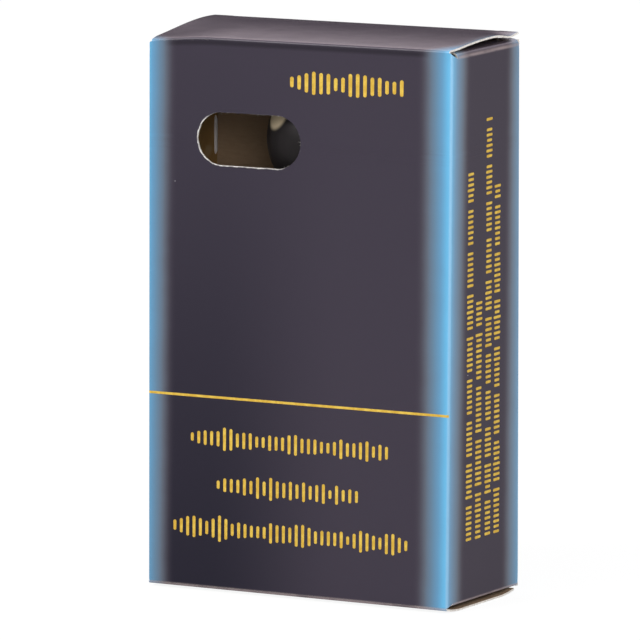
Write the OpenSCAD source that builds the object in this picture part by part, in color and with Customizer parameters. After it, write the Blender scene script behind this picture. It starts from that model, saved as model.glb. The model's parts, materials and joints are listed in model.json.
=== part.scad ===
// Retail folding carton of foam ear plugs, standing upright, with its contents.
// The front panel faces -Y, +X is to its right, +Z is up. The origin lies
// under the middle of the carton, on the surface it stands on.

/* [Ear plugs] */
// Diameter of a foam plug at its open end
plug_d = 12.4; // [11:0.1:13.2]
// Diameter of a plug where its rounded nose starts
plug_waist_d = 10.6; // [8:0.1:10.9]
// Length of a foam plug
plug_len = 21.5; // [18:0.5:26]
// Length of the rounded nose
plug_nose = 6.5; // [4:0.5:9]
// Plugs stacked in the carry case
plug_count = 4; // [4:2:4]

/* [Carry case] */
// Largest diameter of the domed screw cap
cap_d = 23.9; // [23.8:0.1:30]
// Wall of the cap
cap_wall = 1.2; // [0.8:0.1:1.6]
// How far the cap reaches below its widest line
cap_skirt = 6; // [4:0.5:6.5]
// How far the top plug stands above the cap's widest line
plug_rise = 5.3; // [3:0.1:7]
// Room all round a plug in the bore
bore_clear = 1.9; // [0.5:0.1:2]
// Wall of the neck that the cap screws on
neck_wall = 1; // [0.7:0.1:1.2]
// How far the neck reaches above the cap's widest line
neck_rise = 1; // [0.5:0.1:2]
// Step from the neck out to the tube
shoulder_w = 1.1; // [0.6:0.1:1.2]
// Thickness of the tube's floor
tube_floor = 1.4; // [1:0.1:3]
// Thickness of the washer that seals the cap
seal_t = 0.8; // [0.5:0.1:1.5]

/* [Carton] */
// Width across the front panel
carton_w = 62; // [58:1:90]
// Thickness of the paperboard
board_t = 0.35; // [0.25:0.05:0.45]
// Room between the cap and the front and back panels
side_clear = 0.8; // [0.8:0.05:4]
// Free height between the cap and the top crease
headroom = 6.6; // [4.8:0.1:12]
// Outside radius of the vertical folds
fold_r = 0.8; // [0.6:0.1:1.5]
// How far the glue flap reaches along the side panel
glue_flap_w = 10; // [6:1:14]
// Slope of the glue flap's ends
glue_flap_slope = 15; // [5:1:30]

/* [Window] */
// Width of the stadium window
window_w = 21.1; // [14:0.1:26]
// Height of the stadium window
window_h = 9.6; // [6:0.1:12]
// Distance from the left edge to the window's middle
window_left = 20.5; // [15:0.1:30]
// Distance from the top crease down to the window's middle
window_drop = 18; // [12:0.1:40]

/* [Closures] */
// Height that the lid arches up between its creases
lid_arch = 1.05; // [0.6:0.05:2]
// Depth that the bottom panel bulges down
bottom_bulge = 0.6; // [0.4:0.05:1.2]
// Length over which the bottom panel slopes down at each end
bulge_run = 5.5; // [4:0.5:8]
// How far the side panels end inside the front panel's creases
side_drop = 1.3; // [1.2:0.1:1.8]
// How far the back panel ends inside the front panel's creases
back_drop = 0.5; // [0.45:0.05:1]
// Gap between each side edge of a closure and the carton's side
edge_gap = 0.3; // [0.1:0.05:1]
// Width of the lid's corner beyond the slit beside the tuck flap
ear_w = 3.5; // [2:0.1:6]
// Height of the tuck flaps
tuck_h = 9; // [7:0.5:9.5]
// Angle that the tuck flaps lean inward
tuck_lean = 7.5; // [7.5:0.5:10]
// Gap between a tuck flap's crease and the back panel
tuck_gap = 0.5; // [0.4:0.05:0.8]
// Length of the dust flaps
dust_len = 20; // [14:0.5:20]
// Slope of the dust flaps' front edge
dust_slope = 28; // [28:1:36]
// Radius of the flaps' free corners
flap_corner = 2.5; // [1:0.5:4]

/* [Leaflet] */
// Width of the folded leaflet
leaflet_w = 20; // [14:1:22]
// Height of the folded leaflet
leaflet_h = 84; // [50:1:84]
// Thickness of the leaflet's paper
paper_t = 0.16; // [0.1:0.02:0.2]
// Layers of the folded leaflet
leaflet_layers = 6; // [4:2:8]

/* [Hidden] */
crease_gap = 0.05;        // keeps a turning panel off the one it is hinged on
fit_gap = 0.05;           // between pieces that rest on each other
stack_gap = 0.1;          // between the stacked plugs
thread_clear = 0.3;       // between the neck and the cap
cap_gap = 0.2;            // between the cap's rim and the tube's shoulder
paper_gap = 0.1;          // between the layers of the leaflet
rim_round = 0.8;          // rounding of a plug's open end
skew_gap = 1.5;           // a dust flap's free part stays this far off the tuck flap
fine = 96;                // facets round the turned pieces
$fn = 48;

// Carton, from its middle out
carton_d = cap_d + 2 * (side_clear + board_t);
half_w = carton_w / 2;
half_d = carton_d / 2;
y_tuck = half_d - board_t - tuck_gap;
chord = y_tuck + half_d;
arch_r = (chord * chord / 4 + lid_arch * lid_arch) / (2 * lid_arch);
arch_angle = 2 * asin(chord / 2 / arch_r);
ear_angle = (tuck_gap - crease_gap) / arch_r * 180 / PI;
closure_w = carton_w - 2 * edge_gap;

// Radii of the carry case
bore_r = plug_d / 2 + bore_clear;
neck_r = bore_r + neck_wall;
tube_r = neck_r + shoulder_w;
cap_r = cap_d / 2;
cap_bore_r = neck_r + thread_clear;

// Heights, from the bottom panel up: the tube's rim stands where the panel
// starts to slope up
slope_share = max(0, 1 - (y_tuck - tube_r) / bulge_run);
z_floor = board_t + bottom_bulge * slope_share * slope_share + fit_gap;
z_bore = z_floor + tube_floor;
z_stack = z_bore + plug_count * (plug_len + stack_gap);
z_cap = z_stack - plug_rise;
z_neck = z_cap + neck_rise;
z_seal_top = z_neck + seal_t + 2 * fit_gap;
z_shoulder = z_cap - cap_skirt - cap_gap;
z_low = bottom_bulge;
z_top = z_cap + cap_d / 2 + headroom;
z_side_low = z_low + side_drop / 2;
z_side_top = z_top - side_drop;

// ---- Board shapes ----------------------------------------------------------

// A rectangle of board, from one corner to the opposite one
module board(low, high) {
    translate(low) cube(high - low);
}

// The rounded vertical fold at one corner of the carton
module corner_fold(side, front, z0, z1) {
    mirror([side < 0 ? 1 : 0, 0, 0])
        mirror([0, front ? 1 : 0, 0])
            translate([half_w - fold_r, half_d - fold_r, z0])
                rotate_extrude(angle = 90, $fn = fine)
                    translate([fold_r - board_t, 0])
                        square([board_t, z1 - z0]);
}

module stadium(w, h) {
    straight = w - h;
    square([straight, h], center = true);
    for (side = [-1, 1])
        translate([side * straight / 2, 0])
            circle(d = h, $fn = fine);
}

// Outline of a flap that starts at y = 0 and is l long, with round free corners
module tuck_outline(w, l, start) {
    translate([-w / 2, start])
        square([w, l - flap_corner - start]);
    translate([-w / 2 + flap_corner, start])
        square([w - 2 * flap_corner, l - start]);
    for (side = [-1, 1])
        translate([side * (w / 2 - flap_corner), l - flap_corner])
            circle(flap_corner);
}

// Outline of a dust flap: x runs in from its crease, y from front to back
module dust_outline(start) {
    front = -half_d + fold_r + 2 * crease_gap;
    back = half_d - fold_r - 2 * crease_gap;
    shoulder = ear_w - edge_gap;
    inner_back = y_tuck - board_t - skew_gap + tuck_gap;
    tip_front = front + (dust_len - flap_corner) * tan(dust_slope);
    difference() {
        union() {
            polygon([[start, front], [dust_len - flap_corner, tip_front],
                     [dust_len, tip_front + flap_corner],
                     [dust_len, inner_back - flap_corner],
                     [dust_len - flap_corner, inner_back],
                     [shoulder, inner_back], [shoulder, back], [start, back]]);
            translate([dust_len - flap_corner, inner_back - flap_corner])
                circle(flap_corner);
        }
        translate([shoulder + 1, inner_back])
            circle(0.5);
    }
}

// ---- The standing panels ---------------------------------------------------

module front_panel() {
    z0 = z_low + board_t + crease_gap;
    z1 = z_top - board_t - crease_gap;
    color("#443f4b") {
        difference() {
            board([-half_w + fold_r, -half_d, z0], [half_w - fold_r, -half_d + board_t, z1]);
            translate([-half_w + window_left, -half_d + board_t + 1, z_top - window_drop])
                rotate([90, 0, 0])
                    linear_extrude(board_t + 2)
                        stadium(window_w, window_h);
        }
        for (side = [-1, 1])
            corner_fold(side, true, z0, z1);
    }
}

module side_panel(side) {
    z0 = z_side_low + board_t + crease_gap;
    z1 = z_side_top - board_t - crease_gap;
    color("#443f4b")
        mirror([side < 0 ? 1 : 0, 0, 0])
            board([half_w - board_t, -half_d + fold_r, z0], [half_w, half_d - fold_r, z1]);
}

module back_panel() {
    z0 = z_low + back_drop;
    z1 = z_top - back_drop;
    color("#443f4b") {
        board([-half_w + fold_r, half_d - board_t, z0], [half_w - fold_r, half_d, z1]);
        for (side = [-1, 1])
            corner_fold(side, false, z0, z1);
    }
}

// Glued inside the left panel, with sloping ends
module glue_flap() {
    z0 = z_side_low + side_drop;
    z1 = z_side_top - side_drop;
    run = glue_flap_w * tan(glue_flap_slope);
    y_back = half_d - fold_r;
    color("#6b5540")
        translate([-half_w + board_t, 0, 0])
            rotate([90, 0, 90])
                linear_extrude(board_t)
                    polygon([[y_back, z0], [y_back, z1], [y_back - glue_flap_w, z1 - run],
                             [y_back - glue_flap_w, z0 + run]]);
}

// ---- The closures ----------------------------------------------------------

// Arched board from the front crease to the tuck flap's crease, with an ear
// beyond the slit at each back corner
module lid_panel() {
    color("#57525c")
        difference() {
            translate([-closure_w / 2, -half_d + chord / 2, z_top + lid_arch - arch_r])
                rotate([90, 0, 90])
                    rotate(90 - arch_angle / 2 - ear_angle)
                        rotate_extrude(angle = arch_angle + ear_angle, $fn = 720)
                            translate([arch_r - board_t, 0])
                                square([board_t, closure_w]);
            translate([-closure_w / 2 + ear_w, y_tuck, z_top - 3])
                cube([closure_w - 2 * ear_w, 3, 6]);
        }
}

module tuck_flap() {
    linear_extrude(board_t)
        tuck_outline(closure_w - 2 * ear_w - 2 * edge_gap, tuck_h, board_t + crease_gap);
}

// Hangs from the lid's back crease, leaning inward
module lid_tuck_flap() {
    color("#57525c")
        translate([0, y_tuck, z_top])
            mirror([0, 0, 1])
                rotate([90 + tuck_lean, 0, 0])
                    tuck_flap();
}

module dust_flap(side) {
    mirror([side < 0 ? 1 : 0, 0, 0])
        translate([half_w, 0, 0])
            mirror([1, 0, 0])
                linear_extrude(board_t)
                    dust_outline(crease_gap);
}

module top_dust_flap(side) {
    color("#3a3640")
        translate([0, 0, z_side_top - board_t])
            dust_flap(side);
}

// Slopes down from its two creases to the flat middle that the carton stands on
module bottom_panel() {
    steps = 6;
    under = [for (i = [0 : steps]) let (u = i / steps) [u * bulge_run, bottom_bulge * pow(1 - u, 2)]];
    far = [for (i = [steps : -1 : 0]) [chord - under[i].x, under[i].y]];
    lower = concat(under, far);
    upper = [for (i = [len(lower) - 1 : -1 : 0]) lower[i] + [0, board_t]];
    color("#443f4b")
        translate([-closure_w / 2, -half_d, 0])
            rotate([90, 0, 90])
                linear_extrude(closure_w)
                    polygon(concat(lower, upper));
}

module bottom_tuck_flap() {
    color("#443f4b")
        translate([0, y_tuck, z_low])
            rotate([90 + tuck_lean, 0, 0])
                tuck_flap();
}

module bottom_dust_flap(side) {
    color("#3a3640")
        translate([0, 0, z_side_low])
            dust_flap(side);
}

// ---- The contents ----------------------------------------------------------

module case_tube() {
    color("#1b1b1d")
        difference() {
            union() {
                translate([0, 0, z_floor])
                    cylinder(r = tube_r, h = z_shoulder - z_floor, $fn = fine);
                translate([0, 0, z_shoulder - 1])
                    cylinder(r = neck_r, h = z_neck - z_shoulder + 1, $fn = fine);
            }
            translate([0, 0, z_bore])
                cylinder(r = bore_r, h = z_neck, $fn = fine);
        }
}

// A ball cut off below its widest line, hollow, with a bore for the neck
module case_cap() {
    color("#151517")
        translate([0, 0, z_cap])
            difference() {
                intersection() {
                    sphere(cap_r, $fn = fine);
                    translate([0, 0, -cap_skirt])
                        cylinder(r = 2 * cap_r, h = 2 * cap_r + cap_skirt);
                }
                translate([0, 0, -cap_skirt - 1])
                    cylinder(r = cap_bore_r, h = z_seal_top - z_cap + cap_skirt + 1, $fn = fine);
                intersection() {
                    sphere(cap_r - cap_wall, $fn = fine);
                    cylinder(r = bore_r, h = cap_r, $fn = fine);
                }
            }
}

module cap_seal() {
    color("#8a8a88")
        translate([0, 0, z_neck + fit_gap])
            difference() {
                cylinder(r = neck_r, h = seal_t, $fn = fine);
                translate([0, 0, -1])
                    cylinder(r = bore_r, h = seal_t + 2, $fn = fine);
            }
}

// Bullet of foam: flared open end below, rounded nose above
module ear_plug(place) {
    flare = plug_d / 2;
    waist = plug_waist_d / 2;
    body = plug_len - plug_nose;
    sides = [for (i = [0 : 6])
        let (u = i / 6) [waist + (flare - waist) * pow(1 - u, 1.6), rim_round + u * (body - rim_round)]];
    nose = [for (a = [15 : 15 : 75]) [waist * cos(a), body + plug_nose * sin(a)]];
    color("#e8b23c")
        translate([0, 0, z_bore + stack_gap + (place - 1) * (plug_len + stack_gap)])
            rotate_extrude($fn = fine)
                polygon(concat([[0, 0], [flare - rim_round, 0], [flare - rim_round / 4, rim_round / 3]],
                               sides, nose, [[0, plug_len]]));
}

// Folded to and fro, standing on edge against the right panel
module leaflet() {
    pitch = paper_t + paper_gap;
    bend = pitch / 2 + paper_t / 2;
    straight = leaflet_w - 2 * bend;
    x0 = half_w - board_t - fit_gap - leaflet_layers * pitch;
    z0 = z_side_low + board_t + fit_gap;
    color("#e4dcc8")
        translate([x0, -straight / 2, z0])
            linear_extrude(leaflet_h) {
                for (i = [0 : leaflet_layers - 1])
                    translate([i * pitch, 0])
                        square([paper_t, straight]);
                for (i = [0 : leaflet_layers - 2])
                    translate([i * pitch + bend, i % 2 == 0 ? straight : 0])
                        intersection() {
                            difference() {
                                circle(bend);
                                circle(bend - paper_t);
                            }
                            translate([-bend, i % 2 == 0 ? 0 : -bend])
                                square([2 * bend, bend]);
                        }
            }
}

front_panel();
side_panel(1);  // right_panel
back_panel();
side_panel(-1);  // left_panel
glue_flap();
lid_panel();
lid_tuck_flap();
top_dust_flap(1);  // top_dust_flap_right
top_dust_flap(-1);  // top_dust_flap_left
bottom_panel();
bottom_tuck_flap();
bottom_dust_flap(1);  // bottom_dust_flap_right
bottom_dust_flap(-1);  // bottom_dust_flap_left
case_tube();
case_cap();
cap_seal();
ear_plug(1);  // ear_plug_1
ear_plug(2);  // ear_plug_2
ear_plug(3);  // ear_plug_3
ear_plug(4);  // ear_plug_4
leaflet();
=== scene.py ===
import json
import math

import bmesh
import bpy
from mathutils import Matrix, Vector, geometry, noise


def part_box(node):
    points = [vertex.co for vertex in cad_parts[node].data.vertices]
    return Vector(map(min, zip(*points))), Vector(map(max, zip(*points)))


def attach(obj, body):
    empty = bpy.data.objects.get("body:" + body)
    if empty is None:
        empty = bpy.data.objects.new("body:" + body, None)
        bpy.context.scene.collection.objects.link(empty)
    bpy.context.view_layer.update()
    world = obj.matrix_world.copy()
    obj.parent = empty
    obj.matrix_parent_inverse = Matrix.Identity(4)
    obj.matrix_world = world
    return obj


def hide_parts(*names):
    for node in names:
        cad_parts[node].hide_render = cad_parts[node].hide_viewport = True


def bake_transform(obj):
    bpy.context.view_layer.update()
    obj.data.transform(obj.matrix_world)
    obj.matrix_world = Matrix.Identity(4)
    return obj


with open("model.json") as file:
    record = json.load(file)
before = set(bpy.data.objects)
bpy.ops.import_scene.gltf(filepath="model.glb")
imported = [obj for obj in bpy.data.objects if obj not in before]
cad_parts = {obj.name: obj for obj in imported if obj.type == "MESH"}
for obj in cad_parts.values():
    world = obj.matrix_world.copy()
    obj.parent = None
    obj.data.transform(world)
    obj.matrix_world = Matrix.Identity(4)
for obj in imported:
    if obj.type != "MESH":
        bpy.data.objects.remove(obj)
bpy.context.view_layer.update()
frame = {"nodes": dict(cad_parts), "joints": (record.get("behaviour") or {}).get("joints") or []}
mm = 0.001


# ---- The view ----
# A long lens looks at the carton from its front right and a little above,
# so that the front and the right side show.

camera_at = (0.9944, -1.9076, 0.4048)
camera_heading = Vector((-0.4570, 0.8744, -0.1629))


def in_scene(name, data):
    """An object of a mesh, a lamp or a camera, put in the scene."""
    made = bpy.data.objects.new(name, data)
    bpy.context.scene.collection.objects.link(made)
    return made


camera_lens = bpy.data.cameras.new("view")
camera_lens.lens = 675
camera_lens.sensor_width = 36
camera = in_scene("view", camera_lens)
camera.location = camera_at
camera.rotation_euler = camera_heading.to_track_quat("-Z", "Y").to_euler()
bpy.context.scene.camera = camera


# ---- The carton's sleeve ----
# One die-cut blank of thin grey-backed paperboard, printed and varnished on
# its outside, folded round in four upright creases and glued at the back left
# corner. Its front has the stadium window punched in it.

front_low, front_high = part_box("front_panel")
side_low, side_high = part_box("right_panel")
back_low, back_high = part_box("back_panel")
crease = {joint["name"]: Vector(joint["pos_m"]) for joint in frame["joints"] if "pos_m" in joint}

board = side_high.x - side_low.x
half_w = front_high.x
front_y = front_low.y
back_y = back_high.y
width = 2 * half_w
depth = back_y - front_y
fold_r = 0.5 * mm            # outside radius of the upright folds
crease_r = 0.45 * mm         # outside radius of the creases of the closures
seam_gap = 0.15 * mm         # between the left panel's edge and the back fold
top_crease = crease["lid_open"].z
bottom_crease = crease["bottom_open"].z
tuck_y = crease["lid_tuck_flex"].y
front_top = front_high.z     # where the front starts to turn into the lid

side_top = side_high.z + 0.2 * mm
side_fall = 0.5 * mm         # the side's top is cut lower towards the back
back_top = back_high.z - 0.6 * mm
corner_run = 2.0 * mm        # length of the slanted cut from the front's corner down to a side
back_run = 0.45 * mm         # the same at the back
window_w = 21.1 * mm
window_h = 9.7 * mm
window_u = 20.75 * mm        # from the front left fold
window_v = top_crease - 18.35 * mm


def wrap(u, v, inset=0.0):
    """Place of a point of the flat blank on the folded carton: u runs from the
    front left fold to the right, v is the height, inset goes into the board."""
    corners = [(-half_w, back_y), (-half_w, front_y), (half_w, front_y), (half_w, back_y),
               (-half_w, back_y), (-half_w, front_y)]
    at = [-depth, 0, width, width + depth, 2 * width + depth, 2 * width + 2 * depth]
    side = max(i for i in range(5) if i == 0 or u >= at[i])
    along = (Vector(corners[side + 1]) - Vector(corners[side])).normalized()
    near = side if abs(u - at[side]) < fold_r else side + 1
    if 0 < near < 5 and abs(u - at[near]) < fold_r:
        before = (Vector(corners[near]) - Vector(corners[near - 1])).normalized()
        after = (Vector(corners[near + 1]) - Vector(corners[near])).normalized()
        middle = Vector(corners[near]) - before * fold_r + after * fold_r
        turn = (u - at[near] + fold_r) / (2 * fold_r) * math.pi / 2
        ray = Vector((before.y, -before.x)) * math.cos(turn) + before * math.sin(turn)
        flat = middle + ray * (fold_r - inset)
    else:
        out = Vector((along.y, -along.x))
        flat = Vector(corners[side]) + along * (u - at[side]) - out * inset
    return settle(Vector((flat.x, flat.y, v)))


lean_x = 0.85 * mm           # how far the front right fold leans in at its foot,
flare_x = 0.40 * mm          # the back right fold stands out,
splay_x = 0.36 * mm          # and the front left fold leans in at its top and out at its foot
rise_z = 0.9 * mm            # the right side has sprung up
pressed_z = 0.95 * mm        # and the top's front left corner is pressed in,
pressed_from = -18 * mm      # from here to the left
splay_turn = 0.55            # share of the height, from the top, where the front left fold is upright


def smooth(value, low, high):
    share = min(1, max(0, (value - low) / (high - low)))
    return share * share * (3 - 2 * share)


def settle(point):
    """Moves a point of the square carton to the carton in use, which is a little askew."""
    right = (point.x + half_w) / width
    front = (back_y - point.y) / depth
    low = (top_crease - point.z) / (top_crease - bottom_crease)
    corner = max(0, (pressed_from - point.x) / (half_w + pressed_from)) ** 1.5
    pressed = corner * (1 - smooth(point.y, -9 * mm, 12 * mm)) * smooth(point.z, 84 * mm, top_crease)
    splay = splay_x * (1 - right) * front * (low - splay_turn)
    return point + Vector((
        flare_x * right * (1 - front) - lean_x * right * front * low - splay,
        0,
        rise_z * right * (1 - low) - pressed_z * pressed))


def between(knots, at):
    """Height at a place along a line of straight stretches."""
    for (x0, y0), (x1, y1) in zip(knots, knots[1:]):
        if at <= x1:
            return y0 + (y1 - y0) * max(0, (at - x0)) / (x1 - x0)
    return knots[-1][1]


def inside(point, loop):
    """Whether a flat point lies within a closed loop."""
    odd = False
    for (x0, y0), (x1, y1) in zip(loop, loop[1:] + loop[:1]):
        if (y0 > point[1]) != (y1 > point[1]) and point[0] < x0 + (x1 - x0) * (point[1] - y0) / (y1 - y0):
            odd = not odd
    return odd


def steps(low, high, pitch):
    """Evenly spaced places from low to high, about a pitch apart."""
    count = max(1, round((high - low) / pitch))
    return [low + (high - low) * i / count for i in range(count + 1)]


def cut_board(name, outline, place, columns, rows, mark, holes=()):
    """A closed sheet of board: its flat outline is filled with triangles, and each
    point is placed on the printed face and again below it. The attribute "flat"
    keeps what mark gives: the place on the blank, and the distance from a crease."""
    clear = 0.12 * mm
    points, edges = [], []
    for loop in (outline, *holes):
        first = len(points)
        points += loop
        edges += [(first + i, first + (i + 1) % len(loop)) for i in range(len(loop))]

    def on_board(spot):
        return inside(spot, outline) and not any(inside(spot, hole) for hole in holes)

    for u in columns:
        for v in rows:
            around = [(u + clear, v), (u - clear, v), (u, v + clear), (u, v - clear)]
            if all(on_board(spot) for spot in around):
                points.append((u, v))
    flat, _, triangles, *_ = geometry.delaunay_2d_cdt([Vector(p) for p in points], edges, [], 0, 1e-7)
    kept = [t for t in triangles if on_board(sum((flat[i] for i in t), Vector((0, 0))) / 3)]
    used = sorted({i for triangle in kept for i in triangle})
    index = {old: new for new, old in enumerate(used)}
    kept = [[index[i] for i in triangle] for triangle in kept]
    flat = [flat[i] for i in used]
    count = len(flat)
    sides = [side for triangle in kept for side in zip(triangle, triangle[1:] + triangle[:1])]
    shared = set(sides)
    borders = [(a, b) for a, b in sides if (b, a) not in shared]
    mesh = bpy.data.meshes.new(name)
    mesh.from_pydata(
        [place(p.x, p.y, inset) for inset in (0.0, board) for p in flat], [],
        kept + [[i + count for i in reversed(triangle)] for triangle in kept]
        + [[b, a, a + count, b + count] for a, b in borders])
    mesh.polygons.foreach_set("material_index", [0] * len(kept) + [1] * len(kept) + [2] * len(borders))
    spots = mesh.attributes.new("flat", "FLOAT_VECTOR", "POINT")
    for spot, p in zip(spots.data, flat * 2):
        spot.vector = mark(p.x, p.y)
    for material in board_finishes:
        mesh.materials.append(material)
    shape = bmesh.new()
    shape.from_mesh(mesh)
    bmesh.ops.recalc_face_normals(shape, faces=shape.faces)
    shape.to_mesh(mesh)
    shape.free()
    mesh.shade_smooth()
    mesh.set_sharp_from_angle(angle=math.radians(38))
    return in_scene(name, mesh)


def operator(operation, swapped=False):
    """A method of Wire that adds a Math node over the wire and any other value."""
    def method(self, *others):
        values = [*others, self] if swapped else [self, *others]
        return node(self.tree, "ShaderNodeMath", dict(enumerate(values)), operation=operation)
    return method


class Wire:
    """An output of a node. Sums and products of it add Math nodes to its tree."""

    def __init__(self, tree, socket):
        self.tree = tree
        self.socket = socket

    __add__ = operator("ADD")
    __radd__ = operator("ADD", swapped=True)
    __sub__ = operator("SUBTRACT")
    __rsub__ = operator("SUBTRACT", swapped=True)
    __mul__ = operator("MULTIPLY")
    __rmul__ = operator("MULTIPLY", swapped=True)
    __truediv__ = operator("DIVIDE")
    __rtruediv__ = operator("DIVIDE", swapped=True)
    __mod__ = operator("MODULO")
    __pow__ = operator("POWER")
    __abs__ = operator("ABSOLUTE")
    lowest = operator("MINIMUM")
    highest = operator("MAXIMUM")
    floor = operator("FLOOR")
    fraction = operator("FRACT")
    sign = operator("SIGN")
    sine = operator("SINE")
    cosine = operator("COSINE")

    def other(self, name):
        """Another output of the same node."""
        return Wire(self.tree, self.socket.node.outputs[name])

    def rise(self, low, high):
        """0 below low, 1 above high, and a smooth step between them."""
        return node(self.tree, "ShaderNodeMapRange",
                    {"Value": self, "From Min": low, "From Max": high}, interpolation_type="SMOOTHSTEP")


def node(tree, kind, inputs=None, out=0, stops=(), **settings):
    """Adds a node: its settings first, then the values or links of its sockets."""
    made = tree.nodes.new(kind)
    for name, value in settings.items():
        setattr(made, name, value)
    if stops:
        ramp = made.color_ramp.elements
        while len(ramp) < len(stops):
            ramp.new(1.0)
        for stop, (at, colour) in zip(ramp, stops):
            stop.position = at
            stop.color = colour
    for name, value in (inputs or {}).items():
        if isinstance(value, Wire):
            tree.links.new(value.socket, made.inputs[name])
        else:
            made.inputs[name].default_value = value
    return Wire(tree, made.outputs[out]) if len(made.outputs) else made


def paint(red, green, blue):
    """A colour as it looks on a screen, from 0 to 255, for a shader."""
    def linear(value):
        value /= 255
        return value / 12.92 if value <= 0.04045 else ((value + 0.055) / 1.055) ** 2.4
    return (linear(red), linear(green), linear(blue), 1)


def mix(share, first, second):
    """One colour over another."""
    return node(share.tree, "ShaderNodeMix", {0: share, 6: first, 7: second}, 2, data_type="RGBA")


def overlay(colour, share, red, green, blue):
    """A plain colour over whatever is there."""
    return mix(share, colour, paint(red, green, blue))


def grain(where, size, detail=3):
    """Noise with blobs of about that size, in metres."""
    return node(where.tree, "ShaderNodeTexNoise",
                {"Vector": where, "Scale": 1 / size, "Detail": detail, "Roughness": 0.55}, "Fac")


def finished(material, colour, rough, height, relief, others=None):
    """Ends a material, its height drawn in its normals, and gives it back."""
    tree = material.node_tree
    normal = node(tree, "ShaderNodeBump", {"Height": height, "Strength": relief, "Distance": 0.1 * mm})
    sockets = {"Base Color": colour, "Roughness": rough, "Normal": normal, **(others or {})}
    node(tree, "ShaderNodeOutputMaterial", {"Surface": node(tree, "ShaderNodeBsdfPrincipled", sockets)})
    return material


def new_material(name):
    material = bpy.data.materials.new(name)
    material.use_nodes = True
    material.node_tree.nodes.clear()
    return material, material.node_tree


def on_blank(tree):
    """Where a point lies on the flat blank: along it, up it, and from its crease."""
    return node(tree, "ShaderNodeAttribute", out="Vector", attribute_name="flat")


def on_object(tree):
    """Where a point lies on the object itself."""
    return node(tree, "ShaderNodeTexCoord", out="Object")


def mottled(name, size, detail, dark, pale, rough, relief, spread=None, where=on_object):
    """A material with one mottle in its colour, its roughness and its relief."""
    material, tree = new_material(name)
    cloud = grain(where(tree), size, detail)
    share = cloud.rise(*spread) if spread else cloud
    colour = mix(share, paint(*dark), paint(*pale))
    return finished(material, colour, rough[0] + cloud * rough[1], cloud, relief)


band_on_lid = 6.5 * mm       # how far a fold's blue runs on over a closure's corner
across = width / mm
deep = depth / mm
# Each fold's band in mm: its middle from the front left fold, how far it fades
# before and after that, and how both shift to the left for each mm further down.
fold_bands = [(-0.9, 6.5, 7.2, 0, 0.008), (across, 7.5, 7.9, 0, 0.012),
              (across + deep + 2.0, 8.2, 6.5, 0.012, 0),
              (-deep, 6.5, 6, 0, 0), (2 * across + deep, 6.5, 6.5, 0, 0)]
violet = paint(63, 57, 70)
speck_cell = 7 * mm


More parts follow.
